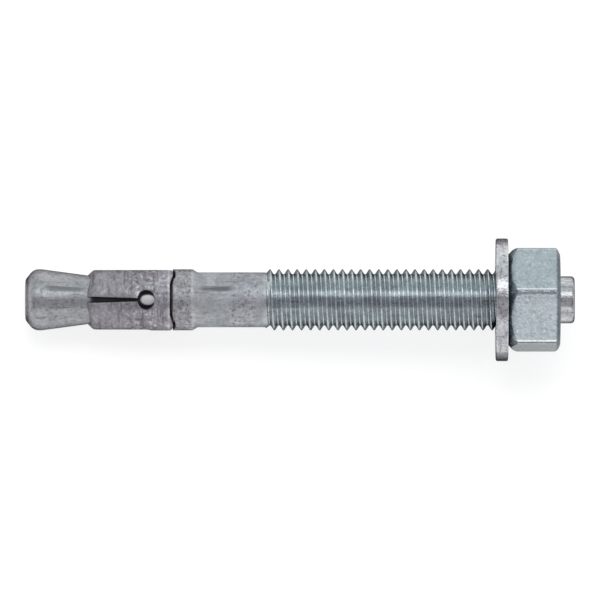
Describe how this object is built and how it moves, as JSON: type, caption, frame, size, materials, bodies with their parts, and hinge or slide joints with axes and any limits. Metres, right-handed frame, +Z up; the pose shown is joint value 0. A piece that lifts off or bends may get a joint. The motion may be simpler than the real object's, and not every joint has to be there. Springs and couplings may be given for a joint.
{
  "type": "wedge anchor",
  "caption": "Steel wedge anchor for concrete: threaded stud with a flared mandrel end, slotted expansion sleeve, collar, washer and hex nut.",
  "frame": {"origin": "on the surface that the anchor lies on, under the middle of its box", "axes": "+X along the anchor from its mandrel end to its nut, seen from above; +Z up; the slot of the sleeve that faces up lies on the XZ plane"},
  "size_m": [0.1062, 0.0237, 0.0238],
  "materials": {
    "stud_steel": "zinc plated, satin",
    "sleeve_steel": "zinc plated, dull and mottled from rolling",
    "washer_steel": "zinc plated, stamped",
    "nut_steel": "zinc plated, bright"
  },
  "bodies": {
    "stud": {"stud": "stud_steel"},
    "expansion_sleeve": {"expansion_sleeve": "sleeve_steel"},
    "washer": {"washer": "washer_steel"},
    "hex_nut": {"hex_nut": "nut_steel"}
  },
  "joints": [
    {"name": "sleeve_play", "type": "slide", "parent": "stud", "child": "expansion_sleeve", "axis": [0.9978, 0, 0.0669], "range_m": [0, 0.00045]},
    {"name": "washer_slide", "type": "slide", "parent": "stud", "child": "washer", "axis": [-0.9978, 0, -0.0669], "range_m": [0, 0.04255]},
    {"name": "nut_turn", "type": "hinge", "parent": "washer", "child": "hex_nut", "pos_m": [0.04507, 0, 0.0123], "axis": [-0.9978, 0, -0.0669], "range_deg": [0, 8753]}
  ],
  "couplings": [
    {"joint": "washer_slide", "follows": "nut_turn", "m_per_rad": 0.00027852}
  ]
}
